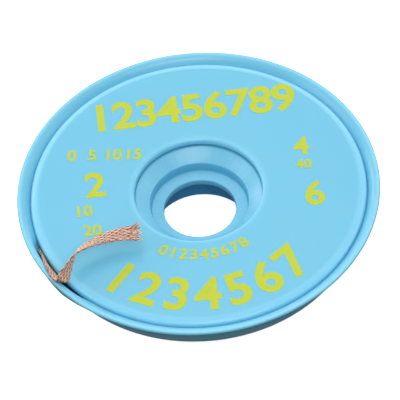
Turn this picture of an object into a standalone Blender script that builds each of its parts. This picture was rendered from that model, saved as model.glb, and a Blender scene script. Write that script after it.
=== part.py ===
# Desoldering braid on its moulded spool: a pan with the hub in it, a lid, the wound braid
# and the free end that comes out between the lid and the pan's lip.
# The ring that the spool stands on is at z = 0 and its axis is the Z axis.
# Depths are measured down from the lid's face at the hub.

import math

import bmesh
import bpy
from mathutils import Vector

MM = 0.001

SPOOL_HEIGHT = 10.3 * MM
TURNED_STEPS = 72
ROLL_STEPS = 36
MERGE_DISTANCE = 0.01 * MM
SEAM_GAP = 0.3 * MM

LID_RADIUS = 24.6 * MM
LID_WALL = 1.0 * MM
LID_DISH = 0.15 * MM
LID_EDGE_ROUND = 1.0 * MM
LID_SKIRT_DEPTH = 1.35 * MM
MOUTH_RADIUS = 9.35 * MM
MOUTH_ROUND = 0.3 * MM

LIP_WIDTH = 1.6 * MM
LIP_ROOT_DEPTH = 1.1 * MM
LIP_RISE = 0.1 * MM
LIP_SHOULDER = 0.95 * MM
LIP_EDGE = 0.45 * MM
LIP_UNDER_DEPTH = 2.3 * MM
LIP_STEPS = 6
EDGE_STEPS = 6
CORNER_STEPS = 3
UNDERSIDE_STEPS = 4
WALL_STEPS = 4
FACE_STEPS = 3
PAN_WALL = 0.75 * MM
PAN_DRAFT = math.radians(26)
PAN_FOOT_DEPTH = 5.94 * MM
PAN_FOOT_ROUND = 0.45 * MM
PAN_FLOOR_WALL = 0.85 * MM
FLOOR_DEPTH_AT_RING = 9.3 * MM
RING_WIDTH = 2.55 * MM

HUB_WALL = 1.05 * MM
BORE_RADIUS = 7.35 * MM
HOLE_RADIUS = 5.3 * MM
LEDGE_DEPTH = 4.35 * MM
LEDGE_RADIUS = 7.1 * MM
WEB_WALL = 1.05 * MM
CONE_FOOT_RADIUS = 7.3 * MM
CONE_FOOT_DEPTH = 2.5 * MM
CONE_SETBACK = 0.05 * MM
HUB_RIM_WALL = 0.3 * MM
HUB_FLARE_DEPTH = 1.5 * MM

BRAID_WIDTH = 2.2 * MM
BRAID_THICKNESS = 0.35 * MM
WOUND_LENGTH = 3.0
WINDING_FILL = 0.85
TURNS_PER_RIDGE = 2
RIDGE_DEPTH = 0.1 * MM

# The braid pushes the lip's root out where it passes, between these plan angles.
PUSH_OUT = 0.6 * MM
PUSH_MIDDLE = math.radians(203)
PUSH_HALF_WIDTH = math.radians(10)
PUSH_FALL = math.radians(16)
PUSH_FOOT_DEPTH = 5.9 * MM
PUSH_FULL_DEPTH = 3.6 * MM

PLASTIC_ROUGHNESS = 0.42
COPPER_ROUGHNESS = 0.4
COPPER_METAL = 0.9

# Worked out from the sizes above
LIP_ROOT_RADIUS = LID_RADIUS + SEAM_GAP
LIP_RADIUS = LIP_ROOT_RADIUS + LIP_WIDTH
RING_RADIUS = BORE_RADIUS + RING_WIDTH
BARREL_RADIUS = BORE_RADIUS + HUB_WALL
CONE_TOP_RADIUS = MOUTH_RADIUS - CONE_SETBACK
HUB_RIM_RADIUS = CONE_TOP_RADIUS + HUB_WALL
HUB_TOP_DEPTH = LID_WALL + SEAM_GAP

# The free end: centre of the flat braid in millimetres, and the direction of its width.
TAIL_ROUTE = (
    (-12.75, 9.3, 6.1, 0, 0, -1),
    (-16.29, 5.2, 6.3, 0.03, -0.01, -1),
    (-19.9, 0.9, 6.5, 0.11, -0.01, -0.99),
    (-21.84, -1.7, 6.75, 0.27, -0.03, -0.97),
    (-22.78, -3.57, 7.04, 0.41, -0.05, -0.92),
    (-23.06, -5.15, 7.28, 0.41, -0.06, -0.89),
    (-23.32, -6.51, 7.59, 0.42, -0.12, -0.88),
    (-23.31, -7.79, 8.28, 0.44, -0.18, -0.89),
    (-23.12, -8.98, 8.85, 0.28, -0.1, -0.86),
    (-22.72, -10.66, 9.43, 0.41, -0.07, -0.89),
    (-22.26, -12.07, 9.82, 0.57, -0.01, -0.89),
    (-21.8, -13.26, 10.12, 0.73, -0.03, -0.75),
    (-21.37, -14.19, 10.38, 0.82, -0.11, -0.52),
    (-20.96, -14.95, 10.88, 0.86, -0.21, -0.16),
    (-20.72, -15.34, 11.28, 0.8, -0.29, 0.11),
    (-20.49, -15.23, 11.43, 0.82, -0.04, -0.2),
    (-20.2, -14.52, 11.7, 0.76, 0.2, -0.62),
    (-19.6, -13.66, 12.15, 0.48, 0.38, -0.79),
    (-19.1, -12.88, 12.5, 0.29, 0.5, -0.82),
    (-18.6, -12.2, 12.8, 0.14, 0.6, -0.79),
    (-18.04, -11.61, 13, -0.05, 0.7, -0.71),
    (-17.31, -11.1, 13.1, -0.16, 0.8, -0.58),
    (-16.32, -10.57, 13.15, -0.16, 0.87, -0.46),
    (-15.11, -10.13, 13.2, -0.12, 0.95, -0.3),
    (-13.45, -9.64, 13.2, -0.06, 0.99, -0.09),
    (-11.41, -9.29, 13.15, -0.02, 1, 0.06),
    (-8.8, -9.19, 13.05, 0, 0.99, 0.15),
)
TAIL_SAMPLES = 3


def innerWallRadius(depth):
    return LIP_ROOT_RADIUS - (depth - LIP_ROOT_DEPTH) * math.tan(PAN_DRAFT)


def outerWallRadius(depth):
    return innerWallRadius(depth) + PAN_WALL / math.cos(PAN_DRAFT)


def floorDepth(radius):
    # The underside of the pan's floor runs straight from the wall's foot down to the ring.
    footRadius = outerWallRadius(PAN_FOOT_DEPTH)
    slope = (FLOOR_DEPTH_AT_RING - PAN_FOOT_DEPTH) / (footRadius - RING_RADIUS)
    return FLOOR_DEPTH_AT_RING - (radius - RING_RADIUS) * slope


def chamberFloorDepth(radius):
    return floorDepth(radius) - PAN_FLOOR_WALL


def arc(radius, depth, roundRadius, start, end, steps):
    # Points on a circle round (radius, depth), from one angle to another, in degrees above level.
    points = []
    for i in range(steps + 1):
        angle = math.radians(start + (end - start) * i / steps)
        points.append((radius + roundRadius * math.cos(angle), depth - roundRadius * math.sin(angle)))
    return points


def lidFaceDepth(radius):
    start = MOUTH_RADIUS + MOUTH_ROUND
    share = (radius - start) / (LID_RADIUS - LID_EDGE_ROUND - start)
    return LID_DISH * share ** 2


def lidProfile():
    faceStart = MOUTH_RADIUS + MOUTH_ROUND
    faceEnd = LID_RADIUS - LID_EDGE_ROUND
    face = [faceStart + (faceEnd - faceStart) * i / FACE_STEPS for i in range(1, FACE_STEPS)]
    top = arc(faceStart, MOUTH_ROUND, MOUTH_ROUND, 180, 90, CORNER_STEPS)
    top += [(radius, lidFaceDepth(radius)) for radius in face]
    top += arc(faceEnd, LID_DISH + LID_EDGE_ROUND, LID_EDGE_ROUND, 90, 0, EDGE_STEPS)
    skirtInside = LID_RADIUS - LID_WALL / 2
    under = [(LID_RADIUS, LID_SKIRT_DEPTH), (skirtInside, LID_SKIRT_DEPTH)]
    under += [(skirtInside - LID_WALL / 2, LID_DISH + LID_WALL)]
    under += [(radius, lidFaceDepth(radius) + LID_WALL) for radius in reversed(face)]
    under += [(MOUTH_RADIUS, LID_WALL)]
    return top + under


def lipTop():
    # From the root the lip slopes up and then levels out to its rim.
    rimRadius = LIP_RADIUS - LIP_EDGE / 2
    shoulderRadius = LIP_ROOT_RADIUS + LIP_SHOULDER
    points = []
    for i in range(LIP_STEPS + 1):
        share = i / LIP_STEPS
        atRoot, atShoulder, atRim = (1 - share) ** 2, 2 * share * (1 - share), share ** 2
        radius = LIP_ROOT_RADIUS * atRoot + shoulderRadius * atShoulder + rimRadius * atRim
        points.append((radius, LIP_ROOT_DEPTH * atRoot - LIP_RISE * (atShoulder + atRim)))
    return points


def lipUnderside():
    points = []
    wallRadius = outerWallRadius(LIP_UNDER_DEPTH)
    start = LIP_EDGE - LIP_RISE
    for i in range(1, UNDERSIDE_STEPS + 1):
        angle = math.radians(90 * i / UNDERSIDE_STEPS)
        radius = wallRadius + (LIP_RADIUS - wallRadius) * (1 - math.sin(angle))
        points.append((radius, start + (LIP_UNDER_DEPTH - start) * (1 - math.cos(angle))))
    return points


def wallPoints(radiusAt, start, end):
    # Points between two depths of the pan's wall, where the braid bulges it.
    depths = [start + (end - start) * i / WALL_STEPS for i in range(1, WALL_STEPS)]
    return [(radiusAt(depth), depth) for depth in depths]


def panProfile():
    rim = arc(LIP_RADIUS - LIP_EDGE / 2, LIP_EDGE / 2 - LIP_RISE, LIP_EDGE / 2, 60, -30, CORNER_STEPS)
    footRadius = outerWallRadius(PAN_FOOT_DEPTH)
    footWall = PAN_FOOT_DEPTH - PAN_FOOT_ROUND
    outside = wallPoints(outerWallRadius, LIP_UNDER_DEPTH, footWall)
    foot = [
        (outerWallRadius(footWall), footWall),
        (footRadius - PAN_FOOT_ROUND, floorDepth(footRadius - PAN_FOOT_ROUND)),
    ]
    bottom = [
        (RING_RADIUS, FLOOR_DEPTH_AT_RING),
        (RING_RADIUS, SPOOL_HEIGHT),
        (BORE_RADIUS, SPOOL_HEIGHT),
        (BORE_RADIUS, LEDGE_DEPTH + WEB_WALL),
        (HOLE_RADIUS, LEDGE_DEPTH + WEB_WALL),
    ]
    hub = [
        (HOLE_RADIUS, LEDGE_DEPTH),
        (LEDGE_RADIUS, LEDGE_DEPTH),
        (CONE_FOOT_RADIUS, CONE_FOOT_DEPTH),
        (CONE_TOP_RADIUS, HUB_TOP_DEPTH),
        (HUB_RIM_RADIUS, HUB_TOP_DEPTH),
        (HUB_RIM_RADIUS, HUB_TOP_DEPTH + HUB_RIM_WALL),
        (BARREL_RADIUS, HUB_TOP_DEPTH + HUB_RIM_WALL + HUB_FLARE_DEPTH),
        (BARREL_RADIUS, chamberFloorDepth(BARREL_RADIUS)),
    ]
    insideFoot = chamberFloorDepth(footRadius - PAN_WALL)
    inside = [(innerWallRadius(insideFoot), insideFoot)]
    inside += wallPoints(innerWallRadius, insideFoot, LIP_ROOT_DEPTH)
    return rim + lipUnderside() + outside + foot + bottom + hub + inside + lipTop()


def rollFrontDepth():
    return LID_WALL + lidFaceDepth(LID_RADIUS - LID_EDGE_ROUND) / 2 + SEAM_GAP


def rollRearDepth(radius):
    return chamberFloorDepth(radius) - SEAM_GAP


def woundRadius():
    # Layers that fill the chamber's height go on until the whole length is on the spool.
    radius = BARREL_RADIUS + SEAM_GAP
    left = WOUND_LENGTH
    while left > 0:
        middle = radius + BRAID_THICKNESS / 2
        turns = (rollRearDepth(middle) - rollFrontDepth()) / BRAID_WIDTH * WINDING_FILL
        layer = 2 * math.pi * middle * turns
        radius += BRAID_THICKNESS * min(1.0, left / layer)
        left -= layer
    return radius


def ridgedEnd(start, end, depthAt, inward):
    # One shallow ridge for every few turns, seen on the roll's end.
    count = max(1, round((end - start) / (BRAID_THICKNESS * TURNS_PER_RIDGE)))
    points = []
    for i in range(2 * count + 1):
        radius = start + (end - start) * i / (2 * count)
        groove = RIDGE_DEPTH * inward if i % 2 == 0 else 0.0
        points.append((radius, depthAt(radius) + groove))
    return points


def rollProfile():
    outerRadius = woundRadius()
    boreRadius = BARREL_RADIUS + SEAM_GAP
    shoulderRadius = HUB_RIM_RADIUS + SEAM_GAP
    rimDepth = HUB_TOP_DEPTH + HUB_RIM_WALL + SEAM_GAP
    front = ridgedEnd(shoulderRadius, outerRadius, lambda radius: rollFrontDepth(), 1)
    rear = ridgedEnd(boreRadius, outerRadius, rollRearDepth, -1)
    bore = [(boreRadius, rimDepth + HUB_FLARE_DEPTH), (shoulderRadius, rimDepth)]
    return front + rear[::-1] + bore


def turnedObject(name, profile, steps):
    mesh = bpy.data.meshes.new(name)
    vertices = [(radius, 0.0, SPOOL_HEIGHT - depth) for radius, depth in profile]
    edges = [(i, (i + 1) % len(vertices)) for i in range(len(vertices))]
    mesh.from_pydata(vertices, edges, [])
    obj = bpy.data.objects.new(name, mesh)
    collection.objects.link(obj)
    screw = obj.modifiers.new("turn", "SCREW")
    screw.steps = steps
    screw.render_steps = steps
    screw.use_merge_vertices = True
    screw.merge_threshold = MERGE_DISTANCE
    screw.use_smooth_shade = True
    return obj


def asMesh(obj):
    # Replaces an object by its evaluated mesh, so that its vertices can be moved.
    depsgraph = bpy.context.evaluated_depsgraph_get()
    mesh = bpy.data.meshes.new_from_object(obj.evaluated_get(depsgraph))
    obj.modifiers.clear()
    obj.data = mesh
    mesh.name = obj.name


def smoothStep(value):
    value = min(1.0, max(0.0, value))
    return value * value * (3 - 2 * value)


def pushAt(angle, depth):
    away = abs((angle - PUSH_MIDDLE + math.pi) % (2 * math.pi) - math.pi)
    around = 1 - smoothStep((away - PUSH_HALF_WIDTH) / PUSH_FALL)
    above = smoothStep((depth + LIP_RISE) / (LIP_ROOT_DEPTH + LIP_RISE))
    below = 1 - smoothStep((depth - PUSH_FULL_DEPTH) / (PUSH_FOOT_DEPTH - PUSH_FULL_DEPTH))
    return PUSH_OUT * around * above * below


def pushLipOut(obj):
    wallStart = innerWallRadius(PAN_FOOT_DEPTH)
    for vertex in obj.data.vertices:
        radius = math.hypot(vertex.co.x, vertex.co.y)
        if radius < wallStart:
            continue
        push = pushAt(math.atan2(vertex.co.y, vertex.co.x), SPOOL_HEIGHT - vertex.co.z)
        if radius > LIP_RADIUS - LIP_EDGE:
            push = 0.0
        scale = (radius + push) / radius
        vertex.co.x *= scale
        vertex.co.y *= scale


def routePoint(points, position):
    # A smooth curve through the route's own points, their width's direction with them.
    index = min(int(position), len(points) - 2)
    share = position - index
    before = points[max(index - 1, 0)]
    start = points[index]
    end = points[index + 1]
    after = points[min(index + 2, len(points) - 1)]
    result = []
    for a, b, c, d in zip(before, start, end, after):
        bend = (c - a) * share
        bend += (2 * a - 5 * b + 4 * c - d) * share ** 2
        bend += (3 * b - a - 3 * c + d) * share ** 3
        result.append(b + bend / 2)
    return result


def tailObject(name):
    # One cross line of the flat braid, drawn out along the route and thickened afterwards.
    count = (len(TAIL_ROUTE) - 1) * TAIL_SAMPLES + 1
    drawn = bmesh.new()
    cross = [drawn.verts.new(), drawn.verts.new()]
    edge = drawn.edges.new(cross)
    for i in range(count):
        *middle, acrossX, acrossY, acrossZ = routePoint(TAIL_ROUTE, i / TAIL_SAMPLES)
        across = Vector((acrossX, acrossY, acrossZ)) * BRAID_WIDTH / 2
        cross[0].co = Vector(middle) * MM - across
        cross[1].co = Vector(middle) * MM + across
        if i < count - 1:
            grown = bmesh.ops.extrude_edge_only(drawn, edges=[edge])["geom"]
            edge = next(item for item in grown if isinstance(item, bmesh.types.BMEdge))
            cross = [item for item in grown if isinstance(item, bmesh.types.BMVert)]
    mesh = bpy.data.meshes.new(name)
    drawn.to_mesh(mesh)
    drawn.free()
    obj = bpy.data.objects.new(name, mesh)
    collection.objects.link(obj)
    solid = obj.modifiers.new("thickness", "SOLIDIFY")
    solid.thickness = BRAID_THICKNESS
    solid.offset = 0.0
    return obj


def material(name, color, roughness, metallic):
    result = bpy.data.materials.new(name)
    result.use_nodes = True
    shader = result.node_tree.nodes["Principled BSDF"]
    shader.inputs["Base Color"].default_value = (*color, 1.0)
    shader.inputs["Roughness"].default_value = roughness
    shader.inputs["Metallic"].default_value = metallic
    return result


def plasticMaterial(name, color):
    return material(name, color, PLASTIC_ROUGHNESS, 0.0)


for old in list(bpy.data.objects):
    bpy.data.objects.remove(old)
collection = bpy.data.collections.new("desoldering_braid")
bpy.context.scene.collection.children.link(collection)

frontFlange = turnedObject("front_flange", lidProfile(), TURNED_STEPS)
frontFlange.data.materials.append(plasticMaterial("lid_plastic", (0.22, 0.58, 0.80)))

rearShell = turnedObject("rear_shell", panProfile(), TURNED_STEPS)
asMesh(rearShell)
pushLipOut(rearShell)
rearShell.data.materials.append(plasticMaterial("pan_plastic", (0.21, 0.56, 0.79)))

braidRoll = turnedObject("braid_roll", rollProfile(), ROLL_STEPS)
woundBraid = material("wound_braid", (0.66, 0.36, 0.26), COPPER_ROUGHNESS, COPPER_METAL)
braidRoll.data.materials.append(woundBraid)

braidTail = tailObject("braid_tail")
freeBraid = material("free_braid", (0.70, 0.40, 0.30), COPPER_ROUGHNESS, COPPER_METAL)
braidTail.data.materials.append(freeBraid)
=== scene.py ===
import math
import random

import bmesh
import bpy
from mathutils import Matrix, Vector


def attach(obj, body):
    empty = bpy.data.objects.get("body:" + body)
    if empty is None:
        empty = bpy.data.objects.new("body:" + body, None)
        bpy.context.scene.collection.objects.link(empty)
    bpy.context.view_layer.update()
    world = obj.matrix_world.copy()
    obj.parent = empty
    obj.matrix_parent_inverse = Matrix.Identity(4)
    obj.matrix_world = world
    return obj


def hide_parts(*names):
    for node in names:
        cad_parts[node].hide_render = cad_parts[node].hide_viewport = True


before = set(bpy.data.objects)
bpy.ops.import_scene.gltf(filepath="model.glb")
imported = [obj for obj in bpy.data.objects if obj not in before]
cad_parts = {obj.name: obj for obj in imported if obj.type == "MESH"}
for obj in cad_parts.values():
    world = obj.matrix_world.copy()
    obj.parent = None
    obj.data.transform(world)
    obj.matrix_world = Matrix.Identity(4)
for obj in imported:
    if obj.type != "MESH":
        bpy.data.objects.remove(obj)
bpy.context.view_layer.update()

mm = 0.001
spoolHeight = 10.3 * mm  # the lid's face at the hub; depths are measured down from here
fullTurn = 2 * math.pi


class Wire:
    # A shader socket that can be used in sums. Numbers alone are worked out by Python.

    def __init__(self, tree, socket=None):
        self.tree = tree
        self.socket = socket

    def node(self, kind, settings=None, inputs=None, output=0):
        made = self.tree.nodes.new(kind)
        for name, value in (settings or {}).items():
            if name == "stops":
                self.setStops(made.color_ramp.elements, value)
            else:
                setattr(made, name, value)
        for name, value in (inputs or {}).items():
            if isinstance(value, Wire):
                self.tree.links.new(value.socket, made.inputs[name])
            else:
                made.inputs[name].default_value = value
        return Wire(self.tree, made.outputs[output])

    def setStops(self, elements, stops):
        while len(elements) < len(stops):
            elements.new(1.0)
        for element, (place, color) in zip(elements, stops):
            element.position = place
            element.color = color

    def math(self, operation, first, second):
        return self.node("ShaderNodeMath", {"operation": operation}, {0: first, 1: second})

    def __add__(self, other):
        return self.math("ADD", self, other)

    def __mul__(self, other):
        return self.math("MULTIPLY", self, other)

    def __sub__(self, other):
        return self.math("SUBTRACT", self, other)

    __radd__ = __add__
    __rmul__ = __mul__

    def mixed(self, first, second):
        # Two colours, with this socket as the share of the second
        return self.node(
            "ShaderNodeMix", {"data_type": "RGBA"}, {"Factor": self, 6: first, 7: second}, output=2
        )


def startMaterial(name):
    material = bpy.data.materials.new(name)
    material.use_nodes = True
    tree = material.node_tree
    shader = tree.nodes["Principled BSDF"]
    place = Wire(tree).node("ShaderNodeTexCoord", output=3)
    return material, shader, place


def join(wire, shader, name):
    wire.tree.links.new(wire.socket, shader.inputs[name])


def noise(place, scale, detail=2.0, roughness=0.5):
    return place.node(
        "ShaderNodeTexNoise", None,
        {"Vector": place, "Scale": scale, "Detail": detail, "Roughness": roughness},
    )


def bump(height, strength, distance):
    return height.node(
        "ShaderNodeBump", None, {"Height": height, "Strength": strength, "Distance": distance}
    )


def rgba(color):
    return (*color, 1.0)


plastic = {
    "color": (0.162, 0.550, 0.780),
    "paintedHighlight": (0.285, 0.720, 0.970),  # painted highlight, mostly on the rounded edges, the lip and the hub
    "paintedShade": (0.060, 0.360, 0.560),  # painted shade down in the grooves and seams
    # Radius in millimetres, and how much painted highlight and how much painted groove shade the
    # plastic's colour has there
    "lidRings": (
        (9.0, 0, 0), (9.4, 0.8, 0), (9.8, 0.35, 0), (10.3, 0, 0),
        (23.2, 0, 0), (23.7, 0.65, 0), (24.3, 0.85, 0), (24.55, 0.3, 0),
    ),
    "panRings": (
        (5.3, 0.15, 0), (7.0, 0.2, 0), (7.08, 0, 0.8), (7.2, 0, 0.7), (7.28, 0.8, 0), (7.45, 0.25, 0),
        (9.1, 0.3, 0), (9.35, 0, 0.95), (10.0, 0.7, 0),
        (24.5, 0.7, 0), (24.8, 0, 0.1), (25.2, 0, 0), (25.7, 0.15, 0), (26.1, 0.7, 0),
    ),
    "ringRange": 26.5,  # radius that the ramp of rings reaches to
    "boreRadius": 8.0 * mm,  # inside the hub, blue light that bounces about deepens the colour
    "boreTop": 4.86 * mm,
    "boreColor": (0.06, 0.47, 0.86),
    "streakRadius": 9.3 * mm,  # in the hub, faint streaks that run out from its middle make the painted highlight stronger and weaker
    "streakScale": 16.0,
    "streakLevel": 0.4,
    "streakShare": 0.5,
    "greener": (0.178, 0.590, 0.750),  # slow drift of the pigment over about two centimetres
    "driftScale": 55.0,
    "driftShare": 0.35,
    "roughness": 0.26,
    "roughnessSpread": 0.10,
    "glow": 0.18,  # light that goes into the plastic and comes out nearby
    "glowRadius": (0.3 * mm, 0.8 * mm, 1.1 * mm),
    "grainScale": 3200.0,  # fine texture left by the mould, about a third of a millimetre
    "grainDepth": 0.0012 * mm,
    "flowScale": 260.0,  # slow unevenness where the plastic flowed and shrank
    "flowDepth": 0.03 * mm,
    "bumpStrength": 0.6,
    "refraction": 1.5,
}


def makePlastic(name, rings):
    material, shader, place = startMaterial(name)
    drift = noise(place, plastic["driftScale"], 3.0) * plastic["driftShare"]
    body = drift.mixed(rgba(plastic["color"]), rgba(plastic["greener"]))
    level = place.node("ShaderNodeVectorMath", {"operation": "MULTIPLY"}, {0: place, 1: (1, 1, 0)})
    radius = level.node("ShaderNodeVectorMath", {"operation": "LENGTH"}, {0: level}, output=1)
    # The rings' painted highlight is kept in a ramp's red, and their painted shade in its green
    reach = plastic["ringRange"]
    stops = [(ring / reach, (highlightShare, depth, 0, 1)) for ring, highlightShare, depth in rings]
    ramp = radius.node("ShaderNodeValToRGB", {"stops": stops}, {"Fac": radius * (1 / (reach * mm))})
    paintedHighlight = ramp.node("ShaderNodeSeparateColor", None, {"Color": ramp}, output=0)
    paintedShade = ramp.node("ShaderNodeSeparateColor", None, {"Color": ramp}, output=1)
    direction = level.node("ShaderNodeVectorMath", {"operation": "NORMALIZE"}, {0: level})
    streak = noise(direction, plastic["streakScale"], 4.0, 0.6) - plastic["streakLevel"]
    streak = streak * radius.math("LESS_THAN", radius, plastic["streakRadius"])
    # Painted highlight from the rings and the hub's streaks, mixed in as a lighter colour
    highlighted = (paintedHighlight + streak * plastic["streakShare"]).mixed(body, rgba(plastic["paintedHighlight"]))
    # Painted shade in the grooves and seams, mixed in as a darker colour
    grooveShaded = paintedShade.mixed(highlighted, rgba(plastic["paintedShade"]))
    height = place.node("ShaderNodeSeparateXYZ", None, {"Vector": place}, output=2)
    bore = radius.math("LESS_THAN", radius, plastic["boreRadius"])
    bore = bore * height.math("LESS_THAN", height, plastic["boreTop"])
    join(bore.mixed(grooveShaded, rgba(plastic["boreColor"])), shader, "Base Color")
    grain = noise(place, plastic["grainScale"], 3.0)
    flow = noise(place, plastic["flowScale"], 2.0)
    join(plastic["roughness"] + plastic["roughnessSpread"] * grain, shader, "Roughness")
    relief = grain * plastic["grainDepth"] + flow * plastic["flowDepth"]
    join(bump(relief, plastic["bumpStrength"], 1.0), shader, "Normal")
    shader.inputs["IOR"].default_value = plastic["refraction"]
    shader.inputs["Subsurface Weight"].default_value = plastic["glow"]
    shader.inputs["Subsurface Radius"].default_value = plastic["glowRadius"]
    shader.inputs["Subsurface Scale"].default_value = 1.0
    return material


copper = {
    "bright": (0.99, 0.73, 0.60),
    "warm": (0.74, 0.36, 0.25),
    "dark": (0.11, 0.035, 0.022),
    "stops": (0.29, 0.50, 0.70),  # where the dark, warm and bright colours stand
    "metallic": 0.74,
    "roughness": 0.30,
    "roughnessSpread": 0.25,
    "streakScale": 900.0,
    "tarnish": 0.35,  # share of the colour that changes with stains and flux; on the woven wires the rest is painted shade and highlight from the weave
}


def makeCopper(name, lift=None):
    # On the woven wires, lift says how far each one stands out of the weave, and the colour follows it
    # as painted shade where a wire lies low and painted highlight where it stands out
    material, shader, place = startMaterial(name)
    streak = noise(place, copper["streakScale"], 3.0, 0.6)
    height = streak
    if lift:
        height = place.node("ShaderNodeAttribute", {"attribute_name": lift}, output=2)
        height = height * (1 - copper["tarnish"]) + streak * copper["tarnish"]
    colors = [rgba(copper[shade]) for shade in ("dark", "warm", "bright")]
    stops = list(zip(copper["stops"], colors))
    join(streak.node("ShaderNodeValToRGB", {"stops": stops}, {"Fac": height}), shader, "Base Color")
    join(copper["roughness"] + copper["roughnessSpread"] * streak, shader, "Roughness")
    shader.inputs["Metallic"].default_value = copper["metallic"]
    return material


ink = {
    "yellow": (0.56, 0.62, 0.012),
    "green": (0.50, 0.61, 0.025),
    "blotchScale": 700.0,
    "blotchDepth": 0.01 * mm,
    "roughness": 0.38,
    "roughnessSpread": 0.2,
    "bumpStrength": 0.5,
}


def makeInk(name):
    material, shader, place = startMaterial(name)
    blotch = noise(place, ink["blotchScale"], 4.0)
    join(blotch.mixed(rgba(ink["yellow"]), rgba(ink["green"])), shader, "Base Color")
    join(ink["roughness"] + ink["roughnessSpread"] * blotch, shader, "Roughness")
    join(bump(blotch * ink["blotchDepth"], ink["bumpStrength"], 1.0), shader, "Normal")
    return material


cameraView = {
    "elevation": math.radians(50.7),
    "roll": math.radians(-5.46),
    "distance": 0.6,
    "pixelsPerMetre": 6866.0,  # at the lid's face
    "pictureWidth": 400.0,
    "hubOffset": (1.8, 10.8),  # pixels from the hub's face to the picture's middle, right and down
    "sensor": 36.0,
    "nearest": 0.05,
    "farthest": 20.0,
}


def makeCamera():
    view = cameraView
    right = Vector((1, 0, 0))
    up = Vector((0, math.sin(view["elevation"]), math.cos(view["elevation"])))
    back = right.cross(up)
    cameraRight = right * math.cos(view["roll"]) + up * math.sin(view["roll"])
    cameraUp = up * math.cos(view["roll"]) - right * math.sin(view["roll"])
    acrossOffset, downOffset = (pixels / view["pixelsPerMetre"] for pixels in view["hubOffset"])
    target = Vector((0, 0, spoolHeight)) + cameraRight * acrossOffset - cameraUp * downOffset
    turn = Matrix((cameraRight, cameraUp, back)).transposed().to_4x4()
    data = bpy.data.cameras.new("camera")
    data.sensor_width = view["sensor"]
    data.lens = view["pixelsPerMetre"] * view["distance"] * view["sensor"] / view["pictureWidth"]
    data.clip_start = view["nearest"]
    data.clip_end = view["farthest"]
    camera = bpy.data.objects.new("camera", data)
    camera.matrix_world = Matrix.Translation(target + back * view["distance"]) @ turn
    bpy.context.scene.collection.objects.link(camera)
    bpy.context.scene.camera = camera


makeCamera()
print("camera placed")


freeEnd = {
    "width": 2.2 * mm,
    "carriers": 16,  # bundles of wire that go each way round the flat braid
    "wires": 3,  # in each bundle
    "wire": 0.09 * mm,
    "pitch": 18.0 * mm,  # length that one bundle takes for a whole turn
    "stepsPerTurn": 72,
    "wireSpacing": 0.98,  # from wire to wire in a bundle, in wire widths
    "bundleSpread": 1.2,  # how much wider than its wires a bundle lies
    "edgeTurn": 5.0,  # how sharply a bundle turns round the flat braid's edges
    "crown": 0.035 * mm,  # how far a bundle's middle wire stands out
    "weave": 0.045 * mm,  # how far a bundle goes over and under the others
    "nesting": 0.3,  # share of the weave by which each flat side stands out further
    "fray": 0.9 * mm,
    "frayLength": 2.2 * mm,
    "frayEnds": (-0.75, 0.5),  # how far past the braid's end the wires go, as shares of the fray
    "splay": 0.45,  # how far they spread, as a share of the fray
    "flare": 0.22,  # share by which the loose end grows wider
    "flareLength": 7.0 * mm,
    "seed": 7,
    # Painted shade and highlight in the wires' colour: a tone that is darker where a bundle goes
    # under, lighter where it goes over, on a bundle's middle wire and towards the frayed end
    "liftName": "lift",
    "liftLevel": 0.5,
    "liftSwing": 0.4,  # from a bundle's highest to its lowest places
    "liftCrown": 0.1,
    "liftFray": 0.35,
    "tint": 0.34,  # how much the colour differs from wire to wire
    # The centre of the flat braid in millimetres, and the direction of its width
    "route": (
        (-12.75, 9.3, 6.1, 0, 0, -1),
        (-16.29, 5.2, 6.3, 0.03, -0.01, -1),
        (-19.9, 0.9, 6.5, 0.11, -0.01, -0.99),
        (-21.84, -1.7, 6.75, 0.27, -0.03, -0.97),
        (-22.78, -3.57, 7.04, 0.41, -0.05, -0.92),
        (-23.06, -5.15, 7.28, 0.41, -0.06, -0.89),
        (-23.32, -6.51, 7.59, 0.42, -0.12, -0.88),
        (-23.31, -7.79, 8.28, 0.44, -0.18, -0.89),
        (-23.12, -8.98, 8.85, 0.28, -0.1, -0.86),
        (-22.72, -10.66, 9.43, 0.41, -0.07, -0.89),
        (-22.26, -12.07, 9.82, 0.57, -0.01, -0.89),
        (-21.8, -13.26, 10.12, 0.73, -0.03, -0.75),
        (-21.37, -14.19, 10.38, 0.82, -0.11, -0.52),
        (-20.96, -14.95, 10.88, 0.86, -0.21, -0.16),
        (-20.72, -15.34, 11.28, 0.8, -0.29, 0.11),
        (-20.49, -15.23, 11.43, 0.82, -0.04, -0.2),
        (-20.2, -14.52, 11.7, 0.76, 0.2, -0.62),
        (-19.6, -13.66, 12.15, 0.48, 0.38, -0.79),
        (-19.1, -12.88, 12.5, 0.29, 0.5, -0.82),
        (-18.6, -12.2, 12.8, 0.14, 0.6, -0.79),
        (-18.04, -11.61, 13, -0.05, 0.7, -0.71),
        (-17.31, -11.1, 13.1, -0.16, 0.8, -0.58),
        (-16.32, -10.57, 13.15, -0.16, 0.87, -0.46),
        (-15.11, -10.13, 13.2, -0.12, 0.95, -0.3),
        (-13.45, -9.64, 13.2, -0.06, 0.99, -0.09),
        (-11.41, -9.29, 13.15, -0.02, 1, 0.06),
        (-8.8, -9.19, 13.05, 0, 0.99, 0.15),
    ),
    "samples": 8,  # steps from one point of the route to the next
    "pathStep": 4,
}


def routePoint(points, position):
    # A smooth curve through the route's own points, their width's direction with them
    index = min(int(position), len(points) - 2)
    share = position - index
    before = points[max(index - 1, 0)]
    start = points[index]
    end = points[index + 1]
    after = points[min(index + 2, len(points) - 1)]
    result = []
    for a, b, c, d in zip(before, start, end, after):
        bend = (c - a) * share
        bend += (2 * a - 5 * b + 4 * c - d) * share ** 2
        bend += (3 * b - a - 3 * c + d) * share ** 3
        result.append(b + bend / 2)
    return result


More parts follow.
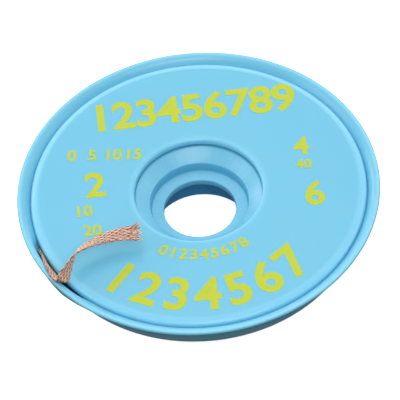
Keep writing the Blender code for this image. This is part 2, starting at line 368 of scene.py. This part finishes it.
def routeFrames():
    # Distance, centre, width's direction, flat side's direction and the way on, at close steps
    samples = freeEnd["samples"]
    count = (len(freeEnd["route"]) - 1) * samples + 1
    rows = [routePoint(freeEnd["route"], i / samples) for i in range(count)]
    centres = [Vector(row[:3]) * mm for row in rows]
    frames = []
    distance = 0.0
    for i, row in enumerate(rows):
        ahead = centres[min(i + 1, count - 1)] - centres[max(i - 1, 0)]
        tangent = ahead.normalized()
        width = Vector(row[3:])
        if i:
            distance += (centres[i] - centres[i - 1]).length
        frames.append((distance, centres[i], width, tangent.cross(width).normalized(), tangent))
    return frames


def placeOnRoute(frames, along, across, out):
    # Where a point of the flat, straight braid comes to lie
    last = len(frames) - 1
    index = 0
    for i in range(last):
        if frames[i][0] <= along:
            index = i
    start, end = frames[index], frames[min(index + 1, last)]
    span = max(end[0] - start[0], 1e-9)
    share = min((along - start[0]) / span, 1.0)
    beyond = max(0.0, along - frames[last][0])
    centre = start[1].lerp(end[1], share) + end[4] * beyond
    width = start[2].lerp(end[2], share)
    side = start[3].lerp(end[3], share).normalized()
    return centre + width * across + side * out


def roundFlat(turn, halfWidth, halfThickness):
    # One trip round the flattened tube: across its front, round the edge and back behind
    turn %= 1.0
    across = 4 * abs(turn - 0.5) - 1
    out = max(-1.0, min(1.0, math.sin(fullTurn * turn) * freeEnd["edgeTurn"]))
    return across * halfWidth, out * halfThickness


def lastPart(along, total, length):
    # Nought up to the braid's last stretch of this length, then rising to one at its end
    return max(0.0, along - (total - length)) / length


def braidWire(frames, way, carrier, wire, chance):
    # One wire as a row of points, each with how far it stands out of the weave
    total = frames[-1][0]
    step = freeEnd["pitch"] / freeEnd["stepsPerTurn"]
    halfWidth = (freeEnd["width"] - freeEnd["wire"] - 2 * freeEnd["weave"]) / 2
    halfThickness = freeEnd["wire"] / 2 + freeEnd["weave"] * freeEnd["nesting"]
    beside = (wire - (freeEnd["wires"] - 1) / 2) * freeEnd["wire"] * freeEnd["wireSpacing"]
    end = total + chance.uniform(*freeEnd["frayEnds"]) * freeEnd["fray"]
    splay = Vector((chance.uniform(-1, 1), chance.uniform(-1, 1))) * freeEnd["fray"] * freeEnd["splay"]
    tint = chance.uniform(-0.5, 0.5) * freeEnd["tint"]
    isMiddle = wire == freeEnd["wires"] // 2
    crown = freeEnd["crown"] if isMiddle else 0.0
    base = freeEnd["liftLevel"] + (freeEnd["liftCrown"] if isMiddle else -freeEnd["liftCrown"]) + tint
    points = []
    for i in range(int(end / step) + 1):
        along = i * step
        crossed = 2 * freeEnd["carriers"] * along / freeEnd["pitch"]
        height = way * math.sin(math.pi / 2 * (2 * carrier + way * crossed) + math.pi / 4)
        turn = carrier / freeEnd["carriers"] + way * along / freeEnd["pitch"]
        turn += beside / (4 * halfWidth) * freeEnd["bundleSpread"]
        across, out = roundFlat(turn, halfWidth, halfThickness)
        out += math.copysign(height * freeEnd["weave"] + crown, out)
        loose = lastPart(along, total, freeEnd["frayLength"])
        opened = lastPart(along, total, freeEnd["flareLength"])
        across = (across + splay.x * loose ** 2) * (1 + freeEnd["flare"] * min(opened, 1.0))
        out += splay.y * loose ** 2
        # Painted shade and highlight: the tone follows the weave, the middle wire and the fray
        lift = base + freeEnd["liftSwing"] * height + freeEnd["liftFray"] * min(loose, 1.0)
        points.append((placeOnRoute(frames, along, across, out), lift))
    return points


def braidWires(frames):
    chance = random.Random(freeEnd["seed"])
    rows = []
    for way in (1, -1):
        for carrier in range(freeEnd["carriers"]):
            for wire in range(freeEnd["wires"]):
                rows.append(braidWire(frames, way, carrier, wire, chance))
    return rows


def markLift(mesh, rows):
    # Each point of a row became one ring of vertices, after the caps' own rings
    lifts = [points[end][1] for points in reversed(rows) for end in (-1, 0)]
    lifts += [lift for points in rows for _, lift in points]
    ring = len(mesh.vertices) // len(lifts)
    marks = mesh.attributes.new(freeEnd["liftName"], "FLOAT", "POINT")
    for index, mark in enumerate(marks.data):
        mark.value = lifts[index // ring]


def makeFreeEnd(material):
    frames = routeFrames()
    curve = bpy.data.curves.new("free_wires", "CURVE")
    curve.dimensions = "3D"
    curve.bevel_depth = freeEnd["wire"] / 2
    curve.bevel_resolution = 0
    curve.use_fill_caps = True
    rows = braidWires(frames)
    for points in rows:
        spline = curve.splines.new("POLY")
        spline.points.add(len(points) - 1)
        for target, (point, _) in zip(spline.points, points):
            target.co = (*point, 1.0)
    guide = bpy.data.objects.new("free_wires", curve)
    bpy.context.scene.collection.objects.link(guide)
    depsgraph = bpy.context.evaluated_depsgraph_get()
    mesh = bpy.data.meshes.new_from_object(guide.evaluated_get(depsgraph))
    bpy.data.objects.remove(guide)
    mesh.name = "free_braid_wires"
    markLift(mesh, rows)
    mesh.shade_smooth()
    mesh.materials.append(material)
    piece = bpy.data.objects.new("free_braid_wires", mesh)
    bpy.context.scene.collection.objects.link(piece)
    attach(piece, "root")
    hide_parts("braid_tail")


copperWire = makeCopper("copper_wire", freeEnd["liftName"])
makeFreeEnd(copperWire)
print("free end of the braid made")


spool = {
    "steps": 240,
    "lidRadius": 24.6,
    "lidWall": 1.0,
    "lidDish": 0.15,
    "faceSteps": (0.35, 0.65),  # shares of the face's width that get points of their own
    "lidEdgeRound": 1.0,
    "bandInner": (23.6, 0.14),  # where the face turns down in a band
    "bandOuter": (24.43, 0.44),
    "bandDrop": 0.45,  # from the band's foot to the lid's upright edge
    "skirtDepth": 1.35,
    "mouthRadius": 9.35,
    "mouthRound": 0.45,
    "lipRoot": (24.7, 0.9),
    "lipShoulder": (25.6, -0.1),
    "lipRadius": 26.5,
    "lipEdge": 0.45,
    "lipUnderDepth": 2.3,
    "wall": 1.02,
    "draft": math.radians(26),
    "footDepth": 5.94,
    "floorWall": 0.85,
    "floorDepthAtRing": 9.3,
    "ringRadius": 9.9,
    "boreRadius": 7.35,
    "webDepth": 5.4,
    "holeRadius": 5.3,
    "ledgeDepth": 4.35,
    "ledgeRadius": 7.1,
    "coneFoot": (7.25, 2.8),
    "coneTop": (9.3, 1.3),
    "hubRimRadius": 10.35,
    "hubRimWall": 0.3,
    "barrelRadius": 8.4,
    "barrelTop": 1.8,  # depth of the barrel's start below the cone's top
    "lipUnderStep": (0.15, 0.1),
    "wallOutside": (0.2, 0.45, 0.7),  # shares of the wall's height that get points of their own
    "wallInside": (5.0, 4.0, 3.0, 2.0),  # depths that do so inside it
    "sharpAngle": math.radians(38),
}


def turnedPiece(name, corners, material):
    # A closed outline of (radius, depth, rounding, segments) in millimetres, spun round the axis
    form = bmesh.new()
    verts = [form.verts.new((r * mm, 0, spoolHeight - d * mm)) for r, d, *_ in corners]
    for i, vertex in enumerate(verts):
        form.edges.new((vertex, verts[(i + 1) % len(verts)]))
    for vertex, (_, _, rounding, segments) in zip(verts, corners):
        if rounding:
            bmesh.ops.bevel(
                form, geom=[vertex], offset=rounding * mm, segments=segments, profile=0.5,
                affect="VERTICES", material=-1,
            )
    bmesh.ops.spin(
        form, geom=form.verts[:] + form.edges[:], cent=(0, 0, 0), axis=(0, 0, 1),
        angle=fullTurn, steps=spool["steps"], use_merge=True,
    )
    bmesh.ops.recalc_face_normals(form, faces=form.faces[:])
    mesh = bpy.data.meshes.new(name)
    form.to_mesh(mesh)
    form.free()
    mesh.shade_smooth()
    mesh.set_sharp_from_angle(angle=spool["sharpAngle"])
    mesh.materials.append(material)
    piece = bpy.data.objects.new(name, mesh)
    bpy.context.scene.collection.objects.link(piece)
    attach(piece, "root")
    return piece


def lidCorners():
    inner, outer = spool["mouthRadius"], spool["lidRadius"]
    under = spool["lidWall"]
    skirtInside = outer - under / 2
    faceSpan = outer - spool["lidEdgeRound"] - inner
    corners = [(inner, 0.0, spool["mouthRound"], 5)]
    for share in spool["faceSteps"]:
        corners.append((inner + share * faceSpan, spool["lidDish"] * share ** 2, 0, 1))
    corners += [
        (*spool["bandInner"], 0.3, 4),
        (*spool["bandOuter"], 0.28, 5),
        (outer, spool["bandOuter"][1] + spool["bandDrop"], 0.3, 4),
        (outer, spool["skirtDepth"], 0.08, 2),
        (skirtInside, spool["skirtDepth"], 0, 1),
        (skirtInside - under / 2, spool["lidDish"] + under, 0, 1),
        (inner, under, 0.1, 2),
    ]
    return corners


def wallRadius(depth):
    # Inside of the pan's slanting wall
    return spool["lipRoot"][0] - (depth - spool["lipRoot"][1]) * math.tan(spool["draft"])


def panFloorDepth(radius):
    foot = wallRadius(spool["footDepth"]) + spool["wall"] / math.cos(spool["draft"])
    slope = (spool["floorDepthAtRing"] - spool["footDepth"]) / (foot - spool["ringRadius"])
    return spool["floorDepthAtRing"] - (radius - spool["ringRadius"]) * slope


def panCorners():
    across = spool["wall"] / math.cos(spool["draft"])
    foot = wallRadius(spool["footDepth"]) + across
    underWall = wallRadius(spool["lipUnderDepth"]) + across
    lipBottom = spool["lipEdge"] + spool["lipShoulder"][1]
    wallHeight = spool["footDepth"] - spool["lipUnderDepth"]
    wallDepths = [spool["lipUnderDepth"] + share * wallHeight for share in spool["wallOutside"]]
    insideFoot = panFloorDepth(foot - spool["wall"]) - spool["floorWall"]
    corners = [
        (*spool["lipShoulder"], 0.65, 8),
        (spool["lipRadius"], spool["lipShoulder"][1], 0.32, 5),
        (spool["lipRadius"], lipBottom, 0.12, 3),
        (underWall + spool["lipUnderStep"][0], lipBottom + spool["lipUnderStep"][1], 1.1, 6),
    ]
    corners += [(wallRadius(depth) + across, depth, 0, 1) for depth in wallDepths]
    corners += [
        (foot, spool["footDepth"], 0.18, 4),
        (spool["ringRadius"], spool["floorDepthAtRing"], 0.15, 3),
        (spool["ringRadius"], spoolHeight / mm, 0.15, 3),
        (spool["boreRadius"], spoolHeight / mm, 0.15, 3),
        (spool["boreRadius"], spool["webDepth"], 0.1, 2),
        (spool["holeRadius"], spool["webDepth"], 0.08, 2),
        (spool["holeRadius"], spool["ledgeDepth"], 0.15, 4),
        (spool["ledgeRadius"], spool["ledgeDepth"], 0.12, 3),
        (*spool["coneFoot"], 0.14, 4),
        (*spool["coneTop"], 0.05, 2),
        (spool["hubRimRadius"], spool["coneTop"][1], 0, 1),
        (spool["hubRimRadius"], spool["coneTop"][1] + spool["hubRimWall"], 0, 1),
        (spool["barrelRadius"], spool["coneTop"][1] + spool["barrelTop"], 0, 1),
        (spool["barrelRadius"], panFloorDepth(spool["barrelRadius"]) - spool["floorWall"], 0, 1),
        (wallRadius(insideFoot), insideFoot, 0, 1),
    ]
    corners += [(wallRadius(depth), depth, 0, 1) for depth in spool["wallInside"]]
    corners += [(*spool["lipRoot"], 0.1, 3)]
    return corners


# The braid pushes the lip's root out where it passes, between these plan angles
pushed = {
    "out": 0.8,
    "start": math.radians(199),
    "end": math.radians(213),
    "rise": math.radians(8),
    "fall": math.radians(16),
    "footDepth": 5.9,
    "fullDepth": 3.6,
}


def smoothStep(value):
    value = min(1.0, max(0.0, value))
    return value * value * (3 - 2 * value)


def pushAt(angle, depth):
    angle %= fullTurn
    around = 1 - smoothStep((pushed["start"] - angle) / pushed["rise"])
    around *= 1 - smoothStep((angle - pushed["end"]) / pushed["fall"])
    top = -spool["lipShoulder"][1]
    above = smoothStep((depth + top) / (spool["lipRoot"][1] + top))
    below = 1 - smoothStep((depth - pushed["fullDepth"]) / (pushed["footDepth"] - pushed["fullDepth"]))
    return pushed["out"] * around * above * below


def pushLipOut(piece):
    start = wallRadius(spool["footDepth"])
    for vertex in piece.data.vertices:
        radius = math.hypot(vertex.co.x, vertex.co.y) / mm
        if start < radius < spool["lipRadius"] - spool["lipEdge"]:
            depth = (spoolHeight - vertex.co.z) / mm
            push = pushAt(math.atan2(vertex.co.y, vertex.co.x), depth)
            vertex.co.x *= (radius + push) / radius
            vertex.co.y *= (radius + push) / radius


lidPlastic = makePlastic("lid_plastic", plastic["lidRings"])
panPlastic = makePlastic("pan_plastic", plastic["panRings"])

lid = turnedPiece("spool_lid", lidCorners(), lidPlastic)
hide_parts("front_flange")

pan = turnedPiece("spool_pan", panCorners(), panPlastic)
pushLipOut(pan)
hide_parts("rear_shell")
print("spool made")

woundCopper = makeCopper("wound_copper")
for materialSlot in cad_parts["braid_roll"].material_slots:
    materialSlot.material = woundCopper


# Plain numbers only. A row has its text, its height and both ends of its base line in millimetres.
# An arc has its text, its height, its base line's radius, and the angles where that starts and ends.
printing = {
    "thickness": 0.02 * mm,
    "lift": 0.012 * mm,
    "bold": 0.035,
    "capShare": 0.73,  # height of a numeral as a share of the font's size
    "rows": [
        ("1 2 3 4 5 6 7 8 9", 5.2, (-15.0, 12.9), (15.6, 13.7)),
        ("0  5  10  15", 2.0, (-19.6, 7.9), (-7.6, 6.7)),
        ("2", 4.6, (-16.6, 0.5), (-13.2, 0.5)),
        ("10", 2.0, (-18.4, -3.0), (-15.4, -3.0)),
        ("20", 2.0, (-17.3, -6.7), (-14.3, -6.7)),
        ("4", 3.4, (14.4, 4.8), (16.9, 4.8)),
        ("40", 1.7, (14.2, 2.2), (17.2, 2.0)),
        ("6", 4.4, (15.2, -4.8), (18.4, -4.8)),
    ],
    "arcs": [
        ("1234567", 5.7, 22.0, 224.0, 316.0),
        ("0 1 2 3 4 5 6 7 8", 1.85, 13.0, 238.0, 302.0),
    ],
}


def faceHeight(radius):
    inner = spool["mouthRadius"]
    share = (radius / mm - inner) / (spool["lidRadius"] - spool["lidEdgeRound"] - inner)
    return spoolHeight - spool["lidDish"] * mm * share ** 2


def numberMesh(text, height):
    # One number as a flat outline, its base line on X and its middle at the origin
    curve = bpy.data.curves.new("number", "FONT")
    curve.body = text
    curve.size = height * mm / printing["capShare"]
    curve.offset = printing["bold"] * height * mm
    curve.align_x = "CENTER"
    curve.extrude = printing["thickness"] / 2
    guide = bpy.data.objects.new("number", curve)
    bpy.context.scene.collection.objects.link(guide)
    depsgraph = bpy.context.evaluated_depsgraph_get()
    mesh = bpy.data.meshes.new_from_object(guide.evaluated_get(depsgraph))
    bpy.data.objects.remove(guide)
    return mesh


def layNumber(form, text, height, base, turn):
    mesh = numberMesh(text, height)
    place = Matrix.Translation((base[0] * mm, base[1] * mm, 0)) @ Matrix.Rotation(turn, 4, "Z")
    mesh.transform(place)
    form.from_mesh(mesh)
    bpy.data.meshes.remove(mesh)


def makePrinting(material):
    form = bmesh.new()
    for text, height, start, end in printing["rows"]:
        numbers = text.split()
        turn = math.atan2(end[1] - start[1], end[0] - start[0])
        for i, number in enumerate(numbers):
            share = (i + 0.5) / len(numbers)
            base = [a + (b - a) * share for a, b in zip(start, end)]
            layNumber(form, number, height, base, turn)
    for text, height, radius, start, end in printing["arcs"]:
        numbers = text.split() if " " in text else list(text)
        for i, number in enumerate(numbers):
            angle = math.radians(start + (end - start) * (i + 0.5) / len(numbers))
            base = (radius * math.cos(angle), radius * math.sin(angle))
            layNumber(form, number, height, base, angle + math.pi / 2)
    for vertex in form.verts:
        radius = math.hypot(vertex.co.x, vertex.co.y)
        vertex.co.z += faceHeight(radius) + printing["lift"]
    mesh = bpy.data.meshes.new("face_numbers")
    form.to_mesh(mesh)
    form.free()
    mesh.materials.append(material)
    piece = bpy.data.objects.new("face_numbers", mesh)
    bpy.context.scene.collection.objects.link(piece)
    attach(piece, "root")


makePrinting(makeInk("number_ink"))
print("numbers printed")


studio = {
    "floorSize": 3.0,
    "floorColor": (0.92, 0.92, 0.92),
    "floorGlow": 0.75,
    "floorRoughness": 0.9,
    "skyAbove": 0.34,
    "skyLevel": 0.36,
    "skyBelow": 0.09,
    "horizon": (0.47, 0.52),  # the sky changes between these, where 0 is straight down and 1 is up
    # Name, place in metres, width and height, and power in watts
    "lamps": [
        ("key", (0.0, 0.3, 0.65), (0.45, 0.45), 0.7),
        ("back", (-0.1, 0.85, 0.36), (2.2, 0.55), 4.2),
        ("left", (-0.6, 0.0, 0.38), (0.45, 0.45), 1.0),
        ("right", (0.55, 0.12, 0.34), (0.6, 0.5), 0.8),
        ("corner", (-0.62, 0.6, 0.34), (0.3, 0.3), 0.6),
        ("gleam", (-0.02, -0.27, 0.66), (0.1, 0.1), 0.12),
        ("front", (0.05, -0.36, 0.62), (0.5, 0.5), 1.9),
    ],
}


def makeFloor():
    form = bmesh.new()
    bmesh.ops.create_grid(form, x_segments=1, y_segments=1, size=studio["floorSize"] / 2)
    mesh = bpy.data.meshes.new("floor")
    form.to_mesh(mesh)
    form.free()
    material, shader, _ = startMaterial("floor")
    shader.inputs["Base Color"].default_value = rgba(studio["floorColor"])
    shader.inputs["Roughness"].default_value = studio["floorRoughness"]
    shader.inputs["Emission Color"].default_value = (1, 1, 1, 1)
    shader.inputs["Emission Strength"].default_value = studio["floorGlow"]
    mesh.materials.append(material)
    floor = bpy.data.objects.new("floor", mesh)
    bpy.context.scene.collection.objects.link(floor)
    floor.visible_diffuse = False
    floor.visible_glossy = False


def makeLight():
    bpy.context.scene.view_settings.view_transform = "Standard"
    world = bpy.data.worlds.new("studio")
    bpy.context.scene.world = world
    world.use_nodes = True
    tree = world.node_tree
    direction = Wire(tree).node("ShaderNodeTexCoord", output=0)
    height = direction.node("ShaderNodeSeparateXYZ", None, {"Vector": direction}, output=2)
    above, level, below = (rgba([studio[name]] * 3) for name in ("skyAbove", "skyLevel", "skyBelow"))
    stops = [(0.0, below), (studio["horizon"][0], below), (studio["horizon"][1], level), (1.0, above)]
    sky = height.node("ShaderNodeValToRGB", {"stops": stops}, {"Fac": height * 0.5 + 0.5})
    tree.links.new(sky.socket, tree.nodes["Background"].inputs["Color"])
    for name, place, size, power in studio["lamps"]:
        light = bpy.data.lights.new(name, "AREA")
        light.shape = "ELLIPSE"
        light.size, light.size_y = size
        light.energy = power
        lamp = bpy.data.objects.new(name, light)
        lamp.location = place
        lamp.rotation_euler = Vector(place).to_track_quat("Z", "Y").to_euler()
        bpy.context.scene.collection.objects.link(lamp)


makeFloor()
makeLight()
print("floor and light placed")
